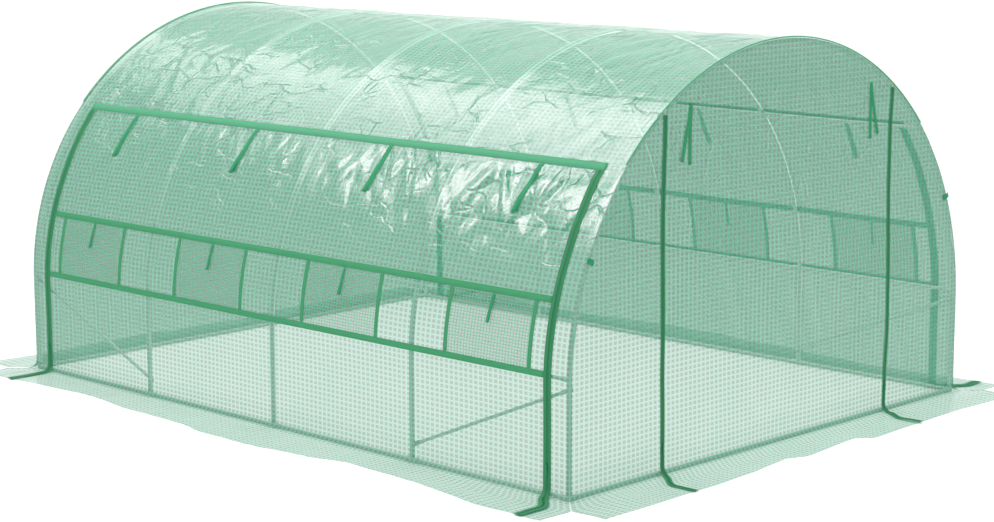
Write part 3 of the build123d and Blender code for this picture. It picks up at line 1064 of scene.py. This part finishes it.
# %% Corner strips
for word, side in both_sides:
    for place, end_way in (("front", -1), ("back", 1)):
        _, points, uvs = wall_grid(end_way * np.linspace(side_zip_y + zip_gap, end_y, 10), side)
        flip = (side > 0) == (end_way > 0)
        corner = grid_piece(f"corner_film_{word}_{place}", points, uvs, film, flip=flip)
        foot_faces(corner)
        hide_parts(f"corner_strip_{word}_{place}")
        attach(corner, "root")
print("corner strips 4")

# %% End sheets
corner_x = 1.25            # beyond this an end skirt is drawn towards the corner
arch_half, sheet_half = 1.5132, 1.5128
end_seed = {-1: 61, 1: 71}
# Shares of the pull at the left and the right door zip; the back end has no door.
door_pull = {-1: (-0.95, -0.75), 1: (0.0, 0.0)}


def sheet_top(x):
    """Height at which an end sheet stops, just inside the roof and the walls."""
    return arch_z(x) - 0.0015


def drawn(x, t, end_way):
    """How far an end skirt is drawn sideways as it goes out over the floor."""
    corner = (np.abs(x) - corner_x) / (half_width + film_mid - corner_x)
    corner = np.clip(corner, 0, 1) * np.sign(x)
    stops = [-half_width, -door_zip_x, door_zip_x, corner_x]
    inner = np.interp(x, stops, [0.0, *door_pull[end_way], 0.0])
    return at_corner(t) * corner + at_zip(t) * inner * (1 - np.abs(corner))


def end_points(x, t, end_way):
    """Points of an end sheet; t is the height, and below 0 the way out over the floor."""
    down = bend_turn(t)
    h = end_relief(x, t, end_seed[end_way])
    y = end_y + gone_out(t) + h * np.cos(down)
    z = np.where(t > bend_r, np.minimum(t, sheet_top(x)), bend_r)
    z = z + (ground_lift - bend_r) * np.sin(down) + h * np.sin(down)
    return np.stack([x + drawn(x, t, end_way), end_way * y, z], -1)


def end_skirt(x, end_way):
    """Length of an end's skirt beyond the bend; the back one is the front one turned round."""
    return np.interp(-end_way * x, front_x, front_reach) - (end_y + bend_r)


def end_sheet(name, low, high, end_way, *nodes):
    """Sheet of an end between two places across it, from the skirt's cut edge to the arch."""
    if max(abs(low), abs(high)) < 1.4:
        xs = lines(low, high, step=0.0135)
    else:  # closer columns where the arch is steep
        start, stop = math.asin(low / arch_half), math.asin(high / arch_half)
        xs = np.sin(np.linspace(start, stop, math.ceil((high - low) / 0.0115))) * arch_half
    foot = np.concatenate([np.linspace(-0.24, s_flat, 12), np.linspace(s_flat, bend_r, 8)[1:]])
    foot = to_edge(foot[:, None], foot[0], end_skirt(xs, end_way)[None, :])
    up = bend_r + (sheet_top(xs)[None, :] - bend_r) * np.linspace(0, 1, 130)[1:, None]
    T = np.concatenate([foot + 0 * xs, up])
    X = np.tile(xs, (len(T), 1))
    points = end_points(X, T, end_way)
    sheet = grid_piece(name, points, np.stack([X, T], -1), film, flip=end_way > 0)
    foot_faces(sheet)
    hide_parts(*nodes)
    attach(sheet, "root")
    print(name, len(sheet.data.polygons), "faces")


far, near = door_zip_x + zip_gap, door_zip_x - zip_gap
end_sheet("front_film_left", -sheet_half, -far, -1, "front_panel_left")
end_sheet("door_film", -near, near, -1, "door_panel", "skirt_front")
end_sheet("front_film_right", far, sheet_half, -1, "front_panel_right")
end_sheet("back_film", -sheet_half, sheet_half, 1, "back_panel", "skirt_back")

# %% [markdown]
# ## Tapes
#
# The top seam is covered with a bright woven tape from one side zip to the other. Darker
# tapes bind the windows, above, below and at both sides. They could be a darker colour
# on the film, but real tape has an edge that catches the light. Each is sewn down along
# both edges, and the stitches are set along the tape by the bar tree.


# %% Seam and window tapes
def on_wall(s, y, side, lift):
    """Points and normals lying on the film."""
    s, y = np.broadcast_arrays(np.asarray(s, float), np.asarray(y, float))
    x, z, nx, nz = wall(s, film_mid + wall_relief(s, y, side) + lift, side)
    return np.stack([x, y + pulled(s, y), z], -1), np.stack([nx, np.zeros_like(nx), nz], -1)


film_half = 0.001         # half the film's thickness in the CAD model
tape_thick = 0.0014
stitch, stitch_pitch, stitch_inset = (0.0042, 0.0009, 0.0008), 0.0075, 0.003
seam_width, post_width, side_zip_width = 0.042, 0.024, 0.048


def sewn(points, normals, width):
    """Two rows of stitches near a tape's edges."""
    parts = []
    across = np.cross(unit(np.gradient(points, axis=0)), normals)
    for way in (-1, 1):
        row = points + across * way * (width / 2 - stitch_inset) + normals * 0.0016
        parts.append(bars("part", *every(row, normals, stitch_pitch), stitch, thread_mat))
    return parts


def tape_parts(s, y, side, lift, width, thick, mat):
    """Tape on the wall, with its stitches. Tapes that cross lie at different lifts."""
    points, normals = on_wall(s, y, side, film_half + lift)
    return [ribbon("part", points, normals, width, thick, mat)] + sewn(points, normals, width)


for word, side in both_sides:
    tape_end = side_zip_y + side_zip_width / 2
    ys = lines(-tape_end, tape_end, step=0.02)
    parts = tape_parts(seam_s, ys, side, 0.0004, seam_width, tape_thick, seam_tape_mat)
    tape = joined(f"seam_tape_cloth_{word}", parts)
    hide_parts(f"seam_tape_{word}")
    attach(tape, "root")

    parts = []
    tape_end = side_zip_y - side_zip_width / 2 - 0.0005
    ys = lines(-tape_end, tape_end, step=0.02)
    for s, width in ((window_low, 0.031), (window_high, 0.032)):
        parts += tape_parts(s, ys, side, 0.0006, width, tape_thick, window_tape_mat)
    ss = np.linspace(window_low, window_high, 16)
    for y in window_posts:
        parts += tape_parts(ss, y, side, 0.0002, post_width, 0.0012, window_tape_mat)
    band = joined(f"window_tapes_{word}", parts)
    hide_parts(f"window_band_{word}")
    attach(band, "root")
print("tapes done")

# %% [markdown]
# ## Zips
#
# A zip is two dark tapes with a coil of teeth between them. The side zips run from the
# top seam down the wall, round the bend and out over the skirt. The door zips run up
# the front sheet to the arch. A slider with a pull sits near the foot of each one. Real
# teeth hook into each other; small bars set to left and right in turn look the same.


# %% Zips
door_zip_width, pull_z = 0.030, 0.14
slider = [(-0.011, 0.7), (-0.009, 1.0), (0.006, 1.0), (0.011, 0.6)]   # place and swell
# A pull's line: height over the zip, distance below the slider, and width.
pull = [
    (0.008, 0.0, 0.006),
    (0.009, 0.006, 0.009),
    (0.0075, 0.02, 0.010),
    (0.006, 0.044, 0.010),
    (0.006, 0.05, 0.007),
]


def zip_piece(points, normals, width, coil_width):
    """A zip along a line: tape, raised welts, teeth, slider and pull."""
    parts = [ribbon("part", points, normals, width, 0.0012, zip_tape_mat)]
    along = unit(np.gradient(points, axis=0))
    across = np.cross(along, normals)
    for way in (-1, 1):
        welt = points + across * way * (coil_width / 2 + 0.0022) + normals * 0.0008
        parts.append(ribbon("part", welt, normals, 0.003, 0.0014, zip_tape_mat))
    parts += sewn(points, normals, width)
    at, d, o = every(points + normals * 0.0016, normals, 0.0042)
    across = np.cross(d, o)
    side_step = across * 0.0009
    side_step[::2] *= -1
    parts.append(bars("part", at + side_step, across, o, (coil_width, 0.0021, 0.0018), coil_mat))
    k = np.argmax(points[:, 2] > pull_z)
    spot, way, out = points[k], along[k], normals[k]
    way = way if way[2] > 0 else -way
    body = [spot + out * 0.0042 + way * t for t, _ in slider]
    parts.append(tube("part", body, 0.005, coil_mat, sides=10, swell=[v for _, v in slider]))
    line = [spot + out * v - way * t for v, t, _ in pull]
    wide = [w for _, _, w in pull]
    parts.append(ribbon("part", line, [out] * len(pull), wide, 0.0018, webbing_mat))
    return parts


for word, side in both_sides:
    parts = []
    for y in (-side_zip_y, side_zip_y):
        start = s_flat - float(skirt_length(y, side)) + 0.004
        ss = lines(start, s_flat, bend_r, 0.1, seam_s - seam_width / 2, step=0.012)
        points, normals = on_wall(ss, y, side, film_half + 0.0004)
        parts += zip_piece(points, normals, side_zip_width, 0.0085)
    zips = joined(f"side_zip_{word}", parts)
    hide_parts(f"side_zips_{word}")
    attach(zips, "root")


def on_front(x, t, lift):
    """Points and normals lying on the front sheets."""
    x, t = np.broadcast_arrays(np.asarray(x, float), np.asarray(t, float))
    down = bend_turn(t)
    normals = np.stack([np.zeros_like(down), -np.cos(down), np.sin(down)], -1)
    return end_points(x, t, -1) + normals * lift, normals


parts = []
for x in (-door_zip_x, door_zip_x):
    start = s_flat - float(end_skirt(x, -1)) + 0.004
    top = float(arch_z(door_zip_x + door_zip_width / 2)) - 0.012
    points, normals = on_front(
        x, lines(start, s_flat, bend_r, 0.1, top, step=0.012), film_half + 0.0004
    )
    parts += zip_piece(points, normals, door_zip_width, 0.0075)
door_zip = joined("door_zip_pair", parts)
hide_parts("door_zips")
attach(door_zip, "root")
print("zips done")

# %% [markdown]
# ## Ties, piping and tabs
#
# Webbing ties hang under the top seam, under each window's upper tape and above the
# door, to hold what is rolled up. A tie is sewn at its top and hangs free below, so it
# swings a little to one side and stands off the film. Each one is two ribbons, because
# the strap passes behind as well. Piping finishes the two arched edges of the roof, and
# a short tab is sewn to each side of the front edge.


# %% Ties
down_tie = np.linspace(0, 1, 14)


def tie(s_top, y, length, drift, side, width, lift=0.004):
    """Strap that hangs from s_top, drifts along the wall and stands off by lift at its end."""
    s, y = s_top - length * down_tie, y + drift * down_tie
    points, normals = on_wall(s, y, side, film_half + 0.0022 + lift * down_tie**1.5)
    return ribbon("part", points, normals, width, 0.0016, webbing_mat)


# Each tie has a second, slightly shorter and narrower strap behind it.
for name, node, s_top, place, length, drift, width in (
    ("roll_tie_straps", "roll_ties", seam_s - 0.02, -0.025, 0.265, 0.045, 0.024),
    ("window_tie_straps", "window_ties", window_high - 0.018, 0.0, 0.135, 0.012, 0.016),
):
    spots = [(m + place, side) for m in bay_middles for side in (-1, 1)]
    parts = [tie(s_top, y, length, drift, side, width) for y, side in spots]
    parts += [
        tie(s_top, y, length * 0.96, drift * 0.6, side, width * 0.92, 0.001) for y, side in spots
    ]
    straps = joined(name, parts)
    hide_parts(node)
    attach(straps, "root")

parts = []
tie_x = 0.70
tie_top = float(arch_z(tie_x)) - 0.092
for side in (-1, 1):
    for drift, length, lift in ((0.0, 0.28, 0.001), (side * 0.062, 0.262, 0.005)):
        x, t = side * tie_x + drift * down_tie**1.2, tie_top - length * down_tie
        points, normals = on_front(x, t, 0.0)
        points[:, 1] -= film_half + 0.0008 + lift * down_tie
        parts.append(ribbon("part", points, normals, 0.022, 0.0014, webbing_mat))
straps = joined("door_tie_straps", parts)
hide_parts("door_ties")
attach(straps, "root")
print("ties at the sides, windows and door")

# %% Piping
cord_r, cord_lift, cord_inset = 0.0034, 0.0045, 0.0025
s = lines(seam_s + seam_width / 2, s_ridge, step=0.03)
parts = []
for end_way in (-1, 1):
    half_arches = []
    for side in (-1, 1):
        x, z, _, _ = wall(s, film_mid + cord_lift, side)
        half_arches.append(np.stack([x, np.full_like(x, end_way * (end_y - cord_inset)), z], -1))
    path = np.concatenate([half_arches[0], half_arches[1][::-1][1:]])
    parts.append(tube("part", path, cord_r, seam_tape_mat, sides=10))
cord = joined("edge_piping", parts)
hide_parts("piping")
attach(cord, "root")
print("piping", len(cord.data.polygons), "faces")

# %% Tabs
tab_s, tab_reach, tab_bow = 1.083, 0.023, 0.003
parts = []
for side in (-1, 1):
    x, z, nx, nz = (float(v) for v in wall(tab_s, 0.0, side))
    t = np.linspace(-tab_reach, tab_reach, 8)
    bow = tab_bow * np.cos(t / tab_reach * 1.4)
    points = np.array([x, -end_y - film_half - 0.001, z]) + np.array([nx, 0.0, nz]) * t[:, None]
    points[:, 1] -= bow
    parts.append(ribbon("part", points, [(0, -1, 0)] * len(t), 0.026, 0.0014, webbing_mat))
tabs = joined("edge_tab_loops", parts)
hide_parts("edge_tabs")
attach(tabs, "root")
print("tabs", len(tabs.data.polygons), "faces")

# %% [markdown]
# ## Cloth sizes
#
# Each sheet's UV map is its cut, in metres, so the size that it was cut to is read from
# there. The roof and the ends are stretched over the hoops, the side panels hang from the
# top seam, and tapes, zips and ties are sewn to them. Each call lists these too, but only
# the sizes are printed.


# %% Sheets
def cut_size(piece):
    """Width, length and area of a sheet's cut, from its UV map."""
    mesh = piece.data
    uv = np.zeros(2 * len(mesh.loops))
    mesh.uv_layers[0].data.foreach_get("uv", uv)
    uv = uv.reshape(-1, 4, 2)
    p, q = uv[:, 2] - uv[:, 0], uv[:, 3] - uv[:, 1]
    area = float(np.abs(p[:, 0] * q[:, 1] - p[:, 1] * q[:, 0]).sum() / 2)
    return float(np.ptp(uv[..., 0])), float(np.ptp(uv[..., 1])), area


def cloth(name, held, rests_on, *on_it):
    piece = scene.objects[name]
    width, length, area = cut_size(piece)
    if name.startswith("window_nets"):
        width = area / length   # four nets with gaps between them
    print(name, "cut to", round(width, 3), "by", round(length, 3), "m, area", round(area, 2))


hoops = [f"hoop_{n}" for n in range(1, 6)]
seam_tapes = ["seam_tape_cloth_left", "seam_tape_cloth_right"]
straps = ["roll_tie_straps", "window_tie_straps"]
cloth("roof_film", "stretched", hoops, *seam_tapes, "edge_piping")
cloth("side_film_left", "hung", hoops[1:4], "window_tapes_left", "side_zip_left", *straps)
cloth("side_film_right", "hung", hoops[1:4], "window_tapes_right", "side_zip_right")
cloth("window_nets_left", "hung", ["window_tapes_left"])
cloth("window_nets_right", "hung", ["window_tapes_right"])
for word, _ in both_sides:
    cloth(f"corner_film_{word}_front", "stretched", ["hoop_1"])
    cloth(f"corner_film_{word}_back", "stretched", ["hoop_5"])
    cloth(f"front_film_{word}", "stretched", ["hoop_1"])
cloth("door_film", "hung", ["hoop_1"], "door_zip_pair", "door_tie_straps", "edge_tab_loops")
cloth("back_film", "stretched", ["hoop_5"])

# %% [markdown]
# ## Floor, light and camera
#
# The floor is a plain pale sheet. Behind the far end stands a graded soft box that only
# gloss sees. It could be one lamp, but a single even box leaves a flat white patch with a
# hard edge, so it is four sheets of light that overlap and fade up the roof. A faint box
# does the same for the crown, one overhead gives soft even light without gloss, and a low
# one lights only the inner and far hoops, whose thin bright lines show through the film.
# The film lets shadow rays through, because real film scatters most of the light on it.

# %% Stage
def floor_look(tree):
    at = add_node(tree, "ShaderNodeTexCoord", out=3)
    mottle = at.node("ShaderNodeTexNoise", Vector=at, Scale=0.7, Detail=3.0)
    return {"Base Color": mottle.mix((0.82, 0.825, 0.825), (0.85, 0.85, 0.85)), "Roughness": 0.7}


floor_half = 60.0
floor = mesh_piece(
    "floor",
    [(x * floor_half, y * floor_half, 0) for x, y in ((-1, -1), (1, -1), (1, 1), (-1, 1))],
    [(0, 1, 2, 3)],
    [(0, 0), (1, 0), (1, 1), (0, 1)],
    material("floor", floor_look),
)
floor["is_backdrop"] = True
for o in scene.objects:
    if o.type == "MESH" and any(m in (film, film_foot, net) for m in o.data.materials):
        o.visible_shadow = o.visible_diffuse = False

world = bpy.data.worlds.new("studio")
world.use_nodes = True
sky = world.node_tree.nodes["Background"].inputs
sky["Color"].default_value, sky["Strength"].default_value = (1.0, 1.0, 1.0, 1.0), 1.25
scene.world = world


def facing(place, right, back):
    """Matrix of a light or camera at place, with its own right and backward directions."""
    back = np.asarray(back, float) / np.linalg.norm(back)
    right = np.asarray(right, float) - back * np.dot(right, back)
    right = right / np.linalg.norm(right)
    up = np.cross(back, right)
    return Matrix([(right[i], up[i], back[i], place[i]) for i in range(3)] + [(0, 0, 0, 1)])


def soft_box(name, place, aim, size, power, right, hide=()):
    """Soft box; hide names the kinds of ray that don't see it."""
    light = bpy.data.lights.new(name, "AREA")
    light.shape, light.energy = "RECTANGLE", power
    light.size, light.size_y = size
    made = bpy.data.objects.new(name, light)
    made.matrix_world = facing(place, right, np.subtract(place, aim))
    for kind in hide:
        setattr(made, f"visible_{kind}", False)
    scene.collection.objects.link(made)
    return made


# The graded gloss is four sheets of light, one before the other, each with its edges and
# its watts per m2. In one plane only the first would show.
middle, towards, stagger = np.array((-2.65, 4.45, 7.05)), np.array((-0.45, -1.20, 1.90)), 0.1
pale_pink = (1.0, 0.78, 0.89)   # offsets the green of the film under the gloss
across, along, out = np.array(facing(middle, (0.95, 0.30, 0.08), middle - towards))[:3, :3].T
for i, (left, right, low, high, glow) in enumerate((
    (-4.2, 4.7, -2.6, 2.3, 11),
    (-4.2, 4.1, -2.6, 1.1, 6),
    (-4.2, 3.3, -2.6, -0.1, 9),
    (-4.4, -1.6, -1.2, 1.3, 42),
)):
    wide, tall = right - left, high - low
    spot = middle + across * (left + right) / 2 + along * (low + high) / 2 - out * stagger * i
    power, name = glow * wide * tall, f"back_box_{i + 1}"
    gloss = soft_box(name, spot, spot - out, (wide, tall), power, across, ["diffuse"])
    gloss.data.color = pale_pink
soft_box(
    "roof_box", (2.83, 5.95, 8.14), (-1.57, -0.55, 3.34), (7.0, 5.0), 42, (0.84, -0.54, 0.0),
    ["diffuse"],
)
soft_box("top_box", (0.0, 0.0, 7.5), (0.0, 0.0, 0.0), (6.0, 6.0), 380, (1.0, 0.0, 0.0), ["glossy"])
line = soft_box(
    "hoop_box", (7.0, -7.0, 0.5), (0.0, 0.0, 1.3), (2.6, 1.0), 1700, (0.70, 0.70, 0.0),
    ["diffuse", "camera"],
)
lit = bpy.data.collections.new("tubes")
for o in scene.objects:
    if o.name.startswith(("hoop_2", "hoop_3", "hoop_4", "hoop_5")) and o.type == "MESH":
        lit.objects.link(o)
line.light_linking.receiver_collection = lit
scene.view_settings.view_transform = "Standard"

# %% Camera
place = (-8.95266, -8.79760, 2.81249)
az, el, roll = 0.800008211, 0.170147499, -0.002545239
fwd = np.array([math.cos(el) * math.sin(az), math.cos(el) * math.cos(az), -math.sin(el)])
right = np.array([math.cos(az), -math.sin(az), 0.0])
right = right * math.cos(roll) + np.cross(right, fwd) * math.sin(roll)

lens = bpy.data.cameras.new("camera")
lens.lens, lens.sensor_width, lens.clip_end = 85.275, 36.0, 200.0
camera = bpy.data.objects.new("camera", lens)
camera.matrix_world = facing(place, right, -fwd)
scene.collection.objects.link(camera)
scene.camera = camera
print("lens", round(lens.lens, 3), "mm at", place)

# %% Print the size of the visual box
low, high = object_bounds()
print("visual box", [round(v, 3) for v in high - low])
